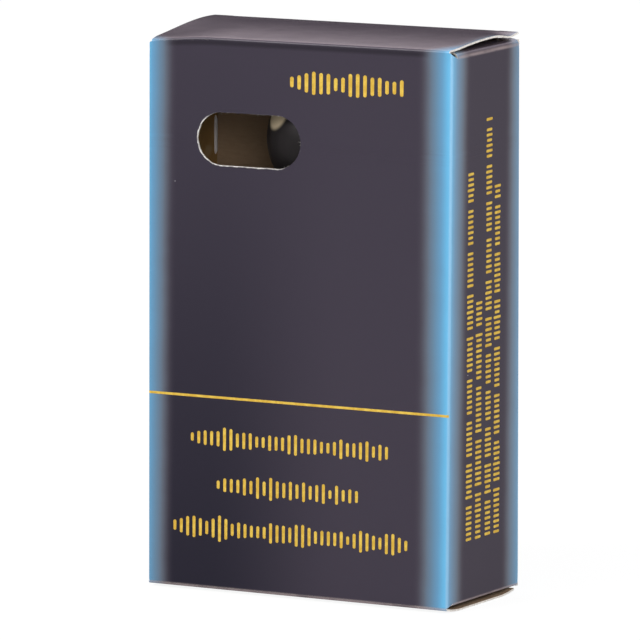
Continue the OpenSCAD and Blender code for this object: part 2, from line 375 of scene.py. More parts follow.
def printed_board():
    """Dark violet-grey print that turns sky blue towards every upright fold,
    under a satin varnish, with a few white specks and a pale line at the creases,
    partly worn print and partly a painted highlight. Painted shade darkens the
    front's lower left and the lid's crease, a painted warm sheen lies on the side,
    and a painted highlight runs along the front right fold."""
    material, tree = new_material("printed board")
    flat = on_blank(tree)
    u = node(tree, "ShaderNodeSeparateXYZ", {"Vector": flat}, "X")
    v = u.other("Y")
    from_crease = u.other("Z")
    mottle = grain(flat, 9 * mm)
    fine = grain(flat, 0.22 * mm, 4)

    # How far a point is from the blue of the nearest fold: 0 in its middle, 1 past it.
    away = None
    down = (top_crease - v) / mm
    for fold, before, after, before_shift, after_shift in fold_bands:
        offset = u / mm - fold
        share = ((offset + down * after_shift) / after).highest((offset + down * before_shift) / -before)
        away = share if away is None else away.lowest(share)
    # The blue ends over the closures' corners, and the right corner keeps more of it.
    over = (v - front_top).rise(0, band_on_lid) * (1 - 0.5 * u.rise(0.4 * width, 0.7 * width))
    under = (front_low.z - v).rise(0, band_on_lid)
    away = away + over + under + (mottle - 0.5) * 0.06

    # Painted shade: the field is darker towards the front's lower left.
    shade = (1 - u.rise(12 * mm, 42 * mm)) * (1 - v.rise(-10 * mm, 125 * mm)) * (u + 4 * mm).rise(0, 1 * mm)
    field = mix(shade, violet, paint(32, 30, 45))
    colour = node(tree, "ShaderNodeValToRGB", {"Fac": away}, stops=[
        (0, paint(121, 201, 246)), (0.12, paint(106, 185, 229)), (0.26, paint(102, 158, 197)),
        (0.46, paint(103, 133, 158)), (0.64, paint(99, 107, 121)), (0.82, paint(83, 79, 90)),
        (1, violet)])
    colour = mix(away.rise(0.55, 1.0), colour, field)

    # Painted light: shade darkens the lid's crease, a painted warm sheen lies on the side, and a painted
    # highlight runs along the front right fold.
    crease_shade = (1 - abs(v - front_top + 0.45 * mm).rise(0.05 * mm, 0.85 * mm)) * away.rise(0.5, 0.95)
    crease_shade = crease_shade * u.rise(-1 * mm, 0) * (1 - (u - width).rise(0, 1 * mm))
    colour = overlay(colour, crease_shade * 0.55, 22, 19, 26)
    # Painted sheen: a warm pale veil over the side's blue.
    side_sheen = (u - width).rise(0, 0.8 * mm) * (1 - away.rise(0.2, 0.85))
    colour = overlay(colour, side_sheen * 0.14, 194, 165, 148)
    # Painted highlight along the front right fold.
    fold_highlight = 1 - abs(u - width).rise(0.1 * mm, 0.6 * mm)
    colour = overlay(colour, fold_highlight * 0.3, 206, 230, 250)

    # Wear and painted light: specks, the creases' pale line, which is partly worn print and partly a painted
    # highlight on their curve, and the chipped print round the window.
    cell = node(tree, "ShaderNodeTexVoronoi", {"Vector": flat, "Scale": 1 / speck_cell}, "Distance")
    picked = node(tree, "ShaderNodeSeparateColor", {"Color": cell.other("Color")}, "Red")
    specks = (1 - cell.rise(0.012, 0.026)) * picked.rise(0.74, 0.76)
    colour = overlay(colour, specks * 0.75, 205, 200, 205)
    worn = grain(flat, 5 * mm, 2).rise(0.2, 0.6)
    # The creases' pale pinkish line: partly worn print, partly a painted highlight where the fold curves
    # over.
    rub_and_highlight = (1 - abs(from_crease).rise(0.05 * mm, 0.5 * mm)) * (0.35 + 0.65 * worn)
    colour = overlay(colour, rub_and_highlight * 0.6, 190, 172, 172)
    past_end = (abs(u - window_u) - (window_w - window_h) / 2).highest(0)
    from_window = (past_end ** 2 + (v - window_v) * (v - window_v)) ** 0.5 - window_h / 2
    torn_side = ((window_u - u) * 0.13 + (window_v - v) * 0.22) / mm
    ragged = (fine * 0.15 - grain(flat, 1.3 * mm) * 0.5) * mm
    chipped = 1 - (from_window + ragged).rise(-0.16 * mm, 0.02 * mm)
    colour = overlay(colour, chipped * torn_side.rise(-0.1, 0.7) * 0.95, 255, 252, 247)
    slow = grain(flat, 6 * mm, 1)
    return finished(material, colour, 0.19 + mottle * 0.06 + fine * 0.04, fine * 0.35 + slow * 2.0, 0.25,
                    {"Specular IOR Level": 0.4})


def bare_board():
    """The unprinted back of the board: grey-brown pulp with short fibres in it."""
    material, tree = new_material("bare board")
    flat = on_blank(tree)
    stretched = node(tree, "ShaderNodeVectorMath", {0: flat, 1: (1, 3.5, 1)}, operation="MULTIPLY")
    pulp = grain(stretched, 1.6 * mm, 5)
    flecks = grain(flat, 0.5 * mm, 2).rise(0.66, 0.74)
    colour = mix(pulp, paint(152, 126, 100), paint(177, 150, 121))
    colour = overlay(colour, flecks * 0.4, 110, 90, 68)
    return finished(material, colour, 0.85 + pulp * 0.1, pulp, 0.5)


# The raw edge of the board shows its pale pulp.
cut_edge = mottled("cut edge of the board", 0.3 * mm, 4, (214, 207, 199), (252, 248, 242),
                   (0.9, 0.05), 0.6, (0.3, 0.7), on_blank)
board_finishes = [printed_board(), bare_board(), cut_edge]


def stadium(u, v, w, h, pitch, rough):
    """The punched window's loop, a little ragged where the punch tore the board."""
    straight = w / 2 - h / 2
    loop = []
    for side in (1, -1):
        loop += [(side * (straight + h / 2 * math.cos(turn)), side * h / 2 * math.sin(turn))
                 for turn in steps(-math.pi / 2, math.pi / 2, 2 * pitch / h)]
        loop += [(side * x, side * h / 2) for x in steps(straight, -straight, -pitch)[1:-1]]
    ragged = []
    for x, y in loop:
        out = Vector((x, y)).normalized() * rough * noise.noise(Vector((u + x, v + y, 0)) / (0.9 * mm))
        ragged.append((u + x + out.x, v + y + out.y))
    return ragged


def side_edge(y):
    """Height of the side panels' top crease."""
    return side_top - side_fall * (y - front_y) / depth


def near_top(u, top, v):
    """The front's top crease gets less of the pale line, worn print and painted highlight, than the sides'
    ones.
    """
    on_front = smooth(min(u, width - u), -corner_run, 0)
    return 0.15 * mm + between(top, u) - v + on_front * 0.5 * mm


def sleeve():
    first = -depth + fold_r + seam_gap
    last = 2 * width + depth + fold_r
    by_front = side_edge(front_y + corner_run)
    by_back = side_edge(back_y - back_run)
    shoulder = front_top - 0.35 * mm
    top = [(first, by_back), (-corner_run, by_front), (-0.1 * mm, shoulder), (0.3 * mm, front_top),
           (width - 0.3 * mm, front_top), (width + 0.1 * mm, shoulder), (width + corner_run, by_front),
           (width + depth - back_run, by_back), (width + depth, back_top), (last, back_top)]
    bottom = [(first, side_low.z), (-corner_run, side_low.z), (0.3 * mm, front_low.z),
              (width - 0.3 * mm, front_low.z), (width + corner_run, side_low.z),
              (width + depth - back_run, side_low.z), (width + depth, back_low.z), (last, back_low.z)]
    columns = set(steps(first, last, 3 * mm)) | {u for u, _ in top}
    for fold in (0, width, width + depth, 2 * width + depth):
        columns |= set(steps(fold - fold_r, fold + fold_r, 0.2 * mm))
    columns = sorted(u for u in columns if first <= u <= last)
    columns = [u for i, u in enumerate(columns) if i == 0 or u - columns[i - 1] > 0.02 * mm]
    outline = [(u, between(bottom, u)) for u in columns] + [(u, between(top, u)) for u in reversed(columns)]
    window = stadium(window_u, window_v, window_w, window_h, 0.35 * mm, 0.1 * mm)

    def mark(u, v):
        return u, v, near_top(u, top, v) if v > window_v else 0.25 * mm + v - between(bottom, u)

    rows = steps(bottom_crease, top_crease, 3 * mm)
    return cut_board("carton_sleeve", outline, wrap, columns, rows, mark, [window])


carton_sleeve = sleeve()
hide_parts("front_panel", "right_panel", "back_panel", "left_panel")
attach(carton_sleeve, "carton")


def dress(name, material):
    """Gives a solid of the CAD its material."""
    materials = frame["nodes"][name].data.materials
    materials.clear()
    materials.append(material)


def glued_board():
    """The glue flap's face: bare board again, with a pale streak of dried glue."""
    material, tree = new_material("glued board")
    spot = on_object(tree)
    pulp = grain(spot, 1.2 * mm, 5)
    glue = grain(spot, 7 * mm, 2).rise(0.5, 0.62)
    colour = mix(pulp, paint(160, 124, 72), paint(182, 144, 90))
    colour = overlay(colour, glue * 0.3, 206, 184, 150)
    return finished(material, colour, 0.9 - glue * 0.35, pulp, 0.5)


dress("glue_flap", glued_board())


def skin(name, rings, material, tips=(None, None), lump=None):
    """A closed mesh over rings of points, its ends flat or drawn to a tip. lump
    gives how far each point moves out."""
    shape = bmesh.new()
    rings = [[shape.verts.new(point) for point in ring] for ring in rings]
    for one, two in zip(rings, rings[1:]):
        for i in range(len(one)):
            shape.faces.new((one[i - 1], one[i], two[i], two[i - 1]))
    for ring, tip in zip((rings[0][::-1], rings[-1]), tips):
        if tip is None:
            shape.faces.new(ring)
            continue
        point = shape.verts.new(tip)
        for i in range(len(ring)):
            shape.faces.new((point, ring[i - 1], ring[i]))
    if lump:
        shape.normal_update()
        for vertex in shape.verts:
            vertex.co += vertex.normal * lump(vertex.co)
    bmesh.ops.recalc_face_normals(shape, faces=shape.faces)
    mesh = bpy.data.meshes.new(name)
    shape.to_mesh(mesh)
    shape.free()
    mesh.materials.append(material)
    return in_scene(name, mesh)


def glue_bead():
    """A short bead of dried glue that has come out of the seam, inside the carton."""
    heights = steps(76.5 * mm, 83.7 * mm, 0.3 * mm)
    rings = []
    for height in heights:
        end = min(height - heights[0], heights[-1] - height) / mm
        radius = 0.38 * mm * min(1, 0.25 + end) * (1 + 0.25 * noise.noise(Vector((0, 0, height / (2 * mm)))))
        middle = Vector((-half_w + 2 * board + 0.1 * mm, back_y - 1.6 * mm, height))
        rings.append([middle + radius * Vector((math.cos(a), math.sin(a), 0))
                      for a in steps(0, 2 * math.pi, math.pi / 6)[:-1]])
    piece = skin("glue_bead", rings, mottled(
        "dried glue", 1.5 * mm, 3, (226, 218, 216), (242, 238, 238), (0.35, 0.2), 0.4))
    piece.data.shade_smooth()
    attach(piece, "carton")


glue_bead()


# ---- The closures ----
# The lid and the bottom are flaps of the same blank, bent in on the front
# panel's creases, each with a tuck flap on its far edge and a dust flap from
# each side under it.

class Bend:
    """A line of arcs and straights in one plane, as board takes when it is folded.
    Each piece has a length and a turn to the left. The board is on the right of
    the line where side is 1, and on its left where side is -1."""

    def __init__(self, start, heading, pieces, side=1):
        self.side = side
        self.pieces = []
        self.length = 0
        self.end = Vector(start)
        for length, turn in pieces:
            self.pieces.append((self.end, heading, length, turn))
            self.length += length
            self.end = self.at(self.length)
            heading += turn

    def at(self, distance, inset=0.0):
        """The place a distance along the line, and an inset into the board."""
        for spot, way, length, turn in self.pieces[:-1]:
            if distance <= length:
                break
            distance -= length
        else:
            spot, way, length, turn = self.pieces[-1]
        heading = way + turn * distance / length
        right = Vector((math.sin(heading), -math.cos(heading)))
        if turn:
            radius = length / turn
            place = spot + radius * Vector((-math.sin(way), math.cos(way))) + radius * right
        else:
            place = spot + Vector((math.cos(way), math.sin(way))) * distance
        return place + self.side * inset * right


lid_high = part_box("lid_panel")[1]
lid_half = lid_high.x + 0.15 * mm
ear_w = lid_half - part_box("lid_tuck_flap")[1].x - 0.3 * mm
ear_reach = lid_high.y - tuck_y
tuck_lean = math.radians(7.5)
tuck_h = 9 * mm
flap_corner = 2.5 * mm

chord = tuck_y - front_y
lid_climb = math.atan(0.10)  # the lid climbs away from its crease,
lid_fall = math.atan(0.07)   # and falls again towards its tuck flap
lid_turn = math.pi / 2 - lid_climb
lid_fold = crease_r * lid_turn
lid_r = (chord - crease_r * (1 - math.cos(lid_turn))) / (math.sin(lid_climb) + math.sin(lid_fall))
lid_arc = lid_r * (lid_climb + lid_fall)
lid_bend = Bend((front_y, front_top), math.pi / 2,
                [(lid_fold, -lid_turn), (lid_arc, -lid_climb - lid_fall)])
sag_y = 9.6 * mm             # the lid's right edge sags most there
lid_relief = 0.5 * mm


def place_lid(u, v, inset):
    """The lid, bent over from the front. Its right edge sags ahead of the slit
    beside the tuck flap, and the corner behind that springs up."""
    spot = lid_bend.at(v - front_top, inset)
    x = u - half_w
    reach = (3.6 if spot.x < sag_y else 1.9) * mm
    sag = 0.6 * mm * math.exp(-((spot.x - sag_y) / reach) ** 2) * smooth(x, 25 * mm, lid_half)
    return settle(Vector((x, spot.x, spot.y - sag)))


def relieved(v):
    """How far the lid's sides are cut back beside its crease."""
    return lid_relief * (1 - smooth(v - front_top, 0.4 * mm, 3 * mm))


def mirrored(side, middle=half_w):
    """The same stretch of an outline on the other side, run the other way."""
    return [(2 * middle - u, v) for u, v in reversed(side)]


def flap(name, node_name, parent, body, start, end, *shape):
    """A flap of the blank, cut from its outline and put in place of its solid of the CAD, which is hidden.
    parent, body, start and end are not used.
    """
    piece = cut_board(name, *shape)
    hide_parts(node_name)
    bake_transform(piece)


def lid():
    corner = front_top + lid_bend.length
    left, right = half_w - lid_half, half_w + lid_half
    ear = ear_w + 1.2 * mm
    columns = sorted({*steps(left, right, 3 * mm), *steps(left, left + ear, 0.6 * mm),
                      *steps(right - ear, right, 0.6 * mm)})
    rows = [front_top + s for s in
            steps(0, lid_fold, 0.06 * mm) + steps(lid_fold, lid_bend.length, 1.2 * mm)[1:]]
    side = [(right - relieved(v), v) for v in rows[:-1]]
    side += [(right, corner + ear_reach), (right - ear_w, corner + ear_reach)]
    side += [(right - ear_w - 0.3 * mm, corner)]
    outline = [(u, front_top) for u in columns if left + lid_relief < u < right - lid_relief] + side
    slit = ear_w + 0.5 * mm
    outline += [(u, corner) for u in reversed(columns) if left + slit < u < right - slit]
    flap("lid", "lid_panel", "carton", "lid",
         (0, front_y, front_top - 0.05 * mm), (0, front_y + crease_r * 1.5, front_top + crease_r * 1.5),
         outline + mirrored(side), place_lid, columns, rows,
         lambda u, v: (u, v, 0.35 * mm + abs(v - front_top - lid_fold)))


lid()


def bent(bend, start=0, way=1):
    """Places a flap that is bent front to back, counted along the blank from start."""
    def place(u, v, inset):
        spot = bend.at(way * (v - start), inset)
        return settle(Vector((u - half_w, spot.x, spot.y)))
    return place


def round_corner(edge, tip):
    """A flap's free corner, from its edge round to its tip."""
    return [(edge - flap_corner * (1 - math.cos(a)), tip - flap_corner * (1 - math.sin(a)))
            for a in steps(0, math.pi / 2, math.pi / 16)]


def tuck_flap(name, node_name, bend, parent, body, start, end):
    """A tuck flap with its two free corners rounded."""
    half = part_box(node_name)[1].x
    left, right = half_w - half, half_w + half
    fold = bend.pieces[0][2]
    reach = fold + tuck_h - 0.4 * mm
    columns = steps(left, right, 3 * mm)
    rows = steps(0, fold, 0.08 * mm) + steps(fold, reach - flap_corner, 2 * mm)[1:]
    side = [(right, v) for v in rows[1:-1]] + round_corner(right, reach)
    flap(name, node_name, parent, body, start, end,
         [(u, 0) for u in columns] + side + mirrored(side), bent(bend), columns, rows,
         lambda u, v: (u, v, abs(v - fold / 2)))


tuck_turn = math.pi / 2 + tuck_lean - lid_fall
lid_tuck_bend = Bend(lid_bend.end, -lid_fall, [(crease_r * tuck_turn, -tuck_turn), (tuck_h, 0)])
tuck_flap("lid_tuck", "lid_tuck_flap", lid_tuck_bend, "lid", "lid_tuck",
          (0, tuck_y - 0.1 * mm, top_crease), (0, tuck_y - 0.1 * mm, top_crease - 1.2 * mm))

dust_reach = half_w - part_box("top_dust_flap_right")[0].x
dust_slope = math.radians(28)
dust_shoulder = 3.2 * mm
dust_back_gap = 0.5 * mm     # from the carton's back to the flap's shoulder
dust_inner_gap = 2.2 * mm    # from the carton's back to the flap's free part
dust_spring = math.radians(6)
dust_turn = math.pi / 2 - dust_spring
dust_run = 6 * mm            # over which it flattens again


def dust_flap(name, node_name, body, side, top):
    """A dust flap: it bends in from a side panel, its front edge cut back at a
    slant and its back edge stepped in beside the tuck flap."""
    up = 1 if top else -1
    radius = 1.1 * mm if top else crease_r
    fold = radius * dust_turn
    bend = Bend((0, 0), math.pi / 2, [(fold, -dust_turn), (dust_run, -dust_spring), (dust_reach, 0)])

    def place(u, v, inset):
        spot = bend.at(v, inset)
        edge = side_edge(u) if top else side_low.z
        return settle(Vector((side * (half_w - spot.x), u, edge + up * spot.y)))

    def mark(u, v):
        return width + u - front_y, front_top + v if top else front_low.z - v, abs(v - 0.15 * mm)

    front = front_y + corner_run
    back = back_y - dust_back_gap
    inner_back = back_y - dust_inner_gap
    tip = fold + dust_reach - radius
    tip_front = front + (tip - flap_corner) * math.tan(dust_slope)
    columns = steps(front, back, 2 * mm)
    rows = steps(0, fold, 0.08 * mm) + steps(fold, tip, 2 * mm)[1:-1]
    outline = [(u, 0) for u in columns] + [(back, v) for v in rows[1:] if v < dust_shoulder]
    outline += [(back, dust_shoulder), (inner_back, dust_shoulder + 0.6 * mm)]
    outline += round_corner(inner_back, tip) + mirrored(round_corner(tip_front, tip), tip_front)
    outline += [(front, v) for v in reversed(rows[1:]) if v < 1.5 * fold]
    middle = side_edge(0) if top else side_low.z
    flap(name, node_name, "carton", body, (side * half_w, 0, middle),
         (side * (half_w - 1.2 * radius), 0, middle + up * 1.2 * radius),
         outline, place, columns, rows, mark)


for side, word in ((1, "right"), (-1, "left")):
    dust_flap(f"top_dust_{word}", f"top_dust_flap_{word}", f"top_flap_{word}", side, True)
    dust_flap(f"bottom_dust_{word}", f"bottom_dust_flap_{word}", f"bottom_flap_{word}", side, False)

bulge_run = 5.5 * mm
bulge = bottom_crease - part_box("bottom_panel")[0].z
bulge_slope = math.atan(2 * bulge / bulge_run)
bottom_turn = math.pi / 2 - bulge_slope
bottom_fold = crease_r * bottom_turn
bulge_arc = bulge_run / math.cos(bulge_slope / 2)
bottom_flat = chord - 2 * bulge_run
bottom_bend = Bend((front_y, bottom_crease + crease_r * math.tan(bottom_turn / 2)), -math.pi / 2,
                   [(bottom_fold, bottom_turn), (bulge_arc - crease_r, bulge_slope),
                    (bottom_flat, 0), (bulge_arc - crease_r, bulge_slope)], side=-1)


def bottom():
    columns = steps(half_w - lid_half, half_w + lid_half, 3 * mm)
    rows = [front_low.z - s for s in
            steps(0, bottom_fold, 0.06 * mm) + steps(bottom_fold, bottom_bend.length, 1.2 * mm)[1:]]
    side = [(half_w + lid_half, v) for v in rows[1:-1]]
    outline = [(u, rows[0]) for u in columns] + side
    outline += [(u, rows[-1]) for u in reversed(columns)] + mirrored(side)
    flap("bottom", "bottom_panel", "carton", "bottom",
         (0, front_y, front_low.z + 0.05 * mm), (0, front_y + crease_r * 1.5, bottom_crease - crease_r * 0.3),
         outline, bent(bottom_bend, front_low.z, -1), columns, rows,
         lambda u, v: (u, v, abs(front_low.z - v - bottom_fold * 0.4)))


bottom()

bottom_tuck_turn = math.pi / 2 + tuck_lean - bulge_slope
bottom_tuck_bend = Bend(bottom_bend.end, bulge_slope,
                        [(crease_r * bottom_tuck_turn, bottom_tuck_turn), (tuck_h, 0)], side=-1)
tuck_flap("bottom_tuck", "bottom_tuck_flap", bottom_tuck_bend, "bottom", "bottom_tuck",
          (0, tuck_y - 0.1 * mm, bottom_crease), (0, tuck_y - 0.1 * mm, bottom_crease + 1.2 * mm))


# ---- The window's torn fibres ----
# The punch leaves short pulp fibres standing on the window's cut edge.

def new_group(name, floats, ints):
    """A Geometry Nodes tree, and the wires of its named inputs."""
    tree = bpy.data.node_groups.new(name, "GeometryNodeTree")
    tree.interface.new_socket("Geometry", in_out="OUTPUT", socket_type="NodeSocketGeometry")
    for kind, labels in (("Float", floats), ("Int", ints)):
        for label in labels.split():
            tree.interface.new_socket(label, in_out="INPUT", socket_type=f"NodeSocket{kind}")
    start = tree.nodes.new("NodeGroupInput")
    return tree, *(Wire(tree, start.outputs[label]) for label in (floats + " " + ints).split())


def xyz(tree, **parts):
    """A vector from the parts that are given."""
    return node(tree, "ShaderNodeCombineXYZ", parts)


def chance(tree, low, high, seed):
    """A random number for each place."""
    return node(tree, "FunctionNodeRandomValue", {2: low, 3: high, "Seed": seed}, 1, data_type="FLOAT")


def end_group(tree, shape, material):
    """Closes a tree with Realize Instances and Set Material, and gives it back."""
    real = node(tree, "GeometryNodeRealizeInstances", {"Geometry": shape})
    painted = node(tree, "GeometryNodeSetMaterial", {"Geometry": real, "Material": material})
    node(tree, "NodeGroupOutput", {"Geometry": painted})
    return tree


def keep_modified(piece):
    """Keeps what the modifiers make of an object as its plain mesh."""
    bpy.context.view_layer.update()
    ready = piece.evaluated_get(bpy.context.evaluated_depsgraph_get())
    mesh = bpy.data.meshes.new_from_object(ready)
    piece.modifiers.clear()
    piece.data = mesh
    mesh.name = piece.name


def grow(name, tree, **values):
    """Runs a tree on an empty mesh, with its named inputs."""
    piece = in_scene(name, bpy.data.meshes.new(name))
    modifier = piece.modifiers.new("shape", "NODES")
    modifier.node_group = tree
    for item in tree.interface.items_tree:
        if item.in_out == "INPUT":
            modifier[item.identifier] = values[item.name]
    keep_modified(piece)
    return piece


def onto_blank(piece):
    """Moves a mesh from the flat blank, where its z is the height over the print,
    to its place on the folded carton."""
    for vertex in piece.data.vertices:
        u, v, height = vertex.co
        vertex.co = wrap(u, v, -height)
    piece.data.update()


def fibre_tree():
    tree, width, height, length, thickness, count, seed = new_group(
        "window fibres", "Width Height Length Thickness", "Count Seed")
    edge = node(tree, "GeometryNodeCurvePrimitiveQuadrilateral", {"Width": width, "Height": height})
    rounded = node(tree, "GeometryNodeFilletCurve",
                   {"Curve": edge, "Radius": height * 0.499, "Count": 24}, mode="POLY")
    spots = node(tree, "GeometryNodeCurveToPoints", {"Curve": rounded, "Count": count}, mode="COUNT")
    hair = node(tree, "GeometryNodeMeshCone",
                {"Vertices": 5, "Side Segments": 3, "Radius Top": 0.1, "Radius Bottom": 1.0, "Depth": 1.0})
    tilt = node(tree, "FunctionNodeRandomValue",
                {0: (-1.1, -1.1, 0.0), 1: (1.1, 1.1, 6.28), "Seed": seed}, data_type="FLOAT_VECTOR")
    long = chance(tree, 0.12, 1.0, seed + 1) ** 3
    placed = node(tree, "GeometryNodeInstanceOnPoints", {
        "Points": spots, "Instance": hair, "Rotation": tilt,
        "Scale": xyz(tree, X=thickness, Y=thickness, Z=length * long)})
    return end_group(tree, placed, board_finishes[2])


window_fibres = grow(
    "window_fibres", fibre_tree(), Width=window_w - 0.04 * mm, Height=window_h - 0.04 * mm,
    Length=0.5 * mm, Thickness=0.022 * mm, Count=260, Seed=4)
for vertex in window_fibres.data.vertices:
    vertex.co += Vector((window_u, window_v, -board / 2))
onto_blank(window_fibres)
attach(window_fibres, "carton")


# ---- The printed marks ----
# Yellow ink on the front and the right side. Rows of strokes, loud and quiet
# like a sound, stand where a carton of this kind has its print.

ink_height = 0.018 * mm
# Opaque yellow ink, a little thinner here and there.
ink = mottled("yellow ink", 0.9 * mm, 3, (220, 176, 54), (240, 202, 80), (0.42, 0.1), 0.1, (0.35, 0.7))


def stroke_tree():
    """Upright strokes with round ends in a row. Their heights rise and fall in
    waves, and some words' worth of them is left out as gaps."""
    tree, length, tall, short, stroke, thick, beat, swell, gap, count, seed = new_group(
        "row of strokes", "Length Tall Short Stroke Ink Beat Swell Gap", "Count Seed")
    index = node(tree, "GeometryNodeInputIndex")
    wave = abs((index * beat).sine())
    slow = abs((index * swell).sine())
    share = (wave * 0.55 + chance(tree, 0.0, 1.0, seed) * 0.45) * (0.35 + 0.65 * slow)
    row = node(tree, "GeometryNodeMeshLine", {"Count": count, "Offset": xyz(tree, X=length / (count - 1))})
    row = node(tree, "GeometryNodeStoreNamedAttribute",
               {"Geometry": row, "Name": "tall", "Value": short + (tall - short) * share},
               data_type="FLOAT", domain="POINT")
    kept = node(tree, "FunctionNodeCompare",
                {0: (index * gap).fraction(), 1: gap * 0.99}, data_type="FLOAT", operation="GREATER_EQUAL")

    # A dot at each place is drawn out to a stroke by its upper and its lower half.
    dot = node(tree, "GeometryNodeMeshCircle", {"Vertices": 16, "Radius": stroke * 0.5}, fill_type="NGON")
    spot = node(tree, "ShaderNodeSeparateXYZ", {"Vector": node(tree, "GeometryNodeInputPosition")}, "Y")
    dot = node(tree, "GeometryNodeStoreNamedAttribute",
               {"Geometry": dot, "Name": "upper", "Value": (spot + stroke * 0.01).sign()},
               data_type="FLOAT", domain="POINT")
    dots = node(tree, "GeometryNodeInstanceOnPoints", {"Points": row, "Selection": kept, "Instance": dot})
    real = node(tree, "GeometryNodeRealizeInstances", {"Geometry": dots})
    own_tall = node(tree, "GeometryNodeInputNamedAttribute", {"Name": "tall"}, data_type="FLOAT")
    way = node(tree, "GeometryNodeInputNamedAttribute", {"Name": "upper"}, data_type="FLOAT")
    strokes = node(tree, "GeometryNodeSetPosition",
                   {"Geometry": real, "Offset": xyz(tree, Y=way * (own_tall - stroke) * 0.5)})

    # Each stroke gets the ink's height, and an underside.
    raised = node(tree, "GeometryNodeExtrudeMesh",
                  {"Mesh": strokes, "Offset": xyz(tree, Z=1.0), "Offset Scale": thick, "Individual": False},
                  mode="FACES")
    under = node(tree, "GeometryNodeFlipFaces", {"Mesh": strokes})
    closed = node(tree, "GeometryNodeJoinGeometry", {"Geometry": raised})
    tree.links.new(under.socket, closed.socket.node.inputs[0])
    whole = node(tree, "GeometryNodeMergeByDistance", {"Geometry": closed, "Distance": 0.0005 * mm})
    return end_group(tree, whole, ink)


strokes = stroke_tree()


def print_row(name, edges, stroke, upright=True, **values):
    """A row of strokes on the blank, along it or down it. Its left and right edges
    count in mm from the front left fold, its top and foot from the top crease down."""
    left, top, right, foot = edges
    length, tall = (right - left, foot - top) if upright else (foot - top, right - left)
    piece = grow(name, strokes, Length=(length - stroke) * mm, Tall=tall * mm, Stroke=stroke * mm,
                 Ink=ink_height, **values)
    for vertex in piece.data.vertices:
        run, rise, height = vertex.co
        if upright:
            vertex.co = ((left + stroke / 2) * mm + run, top_crease - (top + foot) / 2 * mm + rise, height)
        else:
            vertex.co = ((left + right) / 2 * mm - rise, top_crease - (foot - stroke / 2) * mm + run, height)
    onto_blank(piece)
    piece.data.set_sharp_from_angle(angle=math.radians(40))
    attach(piece, "carton")


# Each row on the front: its name, its edges, how many strokes, a stroke's width in
# mm, and how fast the strokes' heights and the loudness change along it.
front_rows = [
    ("title_marks", (29.1, 4.5, 52.2, 9.9), 16, 0.75, 0.47, 0.196),
    ("front_marks_1", (8.9, 71.1, 49.6, 75.6), 31, 0.62, 0.9, 0.31),
    ("front_marks_2", (14.3, 79.4, 43.5, 84.2), 22, 0.62, 1.3, 0.15),
    ("front_marks_3", (5.3, 87.4, 53.7, 92.4), 37, 0.62, 0.7, 0.26)]
for number, (name, edges, count, stroke, beat, swell) in enumerate(front_rows):
    print_row(name, edges, stroke, Count=count, Short=1.4 * mm, Beat=beat, Swell=swell, Gap=0.0, Seed=number)

# Each column on the side: its middle from the front right fold, its top and its
# foot, in mm, and how often its strokes leave a gap.
side_columns = [(7.5, 22.8, 90.4, 0.125), (10.9, 46.5, 90.5, 0.1),
                (14.45, 13.7, 90.4, 0.14), (17.7, 26.2, 90.5, 0.11)]
column_w = 2.65
tick_pitch = 0.95
for number, (at, top, foot, gap) in enumerate(side_columns):
    edges = (across + at - column_w / 2, top, across + at + column_w / 2, foot)
    print_row(f"side_marks_{number + 1}", edges, 0.52, upright=False, Count=round((foot - top) / tick_pitch),
              Short=1.7 * mm, Beat=1.9, Swell=0.11, Gap=gap, Seed=20 + number)

rule_height = 0.45 * mm
rule_v = top_crease - 65.75 * mm


def rule():
    """The thin yellow rule across the front, from fold to fold."""
    low, high = rule_v - rule_height / 2, rule_v + rule_height / 2
    runs = steps(-0.2 * mm, fold_r, 0.1 * mm) + steps(fold_r, width - fold_r, 3 * mm)[1:-1] \
        + steps(width - fold_r, width, 0.1 * mm)
    rings = [[wrap(u, low), wrap(u, high), wrap(u, high, -ink_height), wrap(u, low, -ink_height)]
             for u in runs]
    piece = skin("front_rule", rings, ink)
    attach(piece, "carton")


rule()


# ---- The carry case ----
# A black moulded tube with a domed cap that screws on over a soft washer. Ribs
# down the tube give a grip.

def moulded_black(name, gloss, shine, coat, painted_glint_at=(0, 0, 0), painted_glint_size=0.0):
    """Black moulded plastic: glossy, with faint flow lines, fine scuffs and, on the
    cap's shoulder, one painted reflection: a pale cream patch."""
    material, tree = new_material(name)
    spot = on_object(tree)
    flow = grain(spot, 6 * mm, 2)
    stretched = node(tree, "ShaderNodeVectorMath", {0: spot, 1: (1, 1, 0.12)}, operation="MULTIPLY")
    scuffs = grain(stretched, 0.5 * mm, 4).rise(0.6, 0.8)
    colour = mix(flow * 0.6 + scuffs * 0.3, paint(24, 22, 23), paint(42, 39, 39))
    if painted_glint_size:
        # Painted reflection: a pale cream patch on the cap's shoulder.
        away = node(tree, "ShaderNodeVectorMath", {0: spot, 1: painted_glint_at}, "Value", operation="DISTANCE")
        cap_glint = 1 - (away / painted_glint_size).rise(0.8, 1.12)
        colour = overlay(colour, cap_glint, 178, 163, 136)
    return finished(material, colour, gloss + scuffs * 0.18 + flow * 0.05, flow * 0.6 + scuffs * 0.2, 0.12,
                    {"Specular IOR Level": shine, "Coat Weight": coat, "Coat Roughness": 0.08})


tube_low, tube_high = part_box("case_tube")
tube_plastic = moulded_black("case plastic", 0.26, 0.5, 0.35)
dress("case_tube", tube_plastic)
# Where the cap's painted reflection sits, and how far it reaches.
painted_glint_at = (-7.0 * mm, -8.6 * mm, 88.6 * mm)
dress("case_cap", moulded_black("cap plastic", 0.42, 0.2, 0.03, painted_glint_at, 3.4 * mm))
# Grey moulded rubber, matte, with a bloom on it.
dress("cap_seal", mottled("washer rubber", 1.5 * mm, 4, (112, 112, 110), (150, 149, 146), (0.7, 0.2), 0.2))


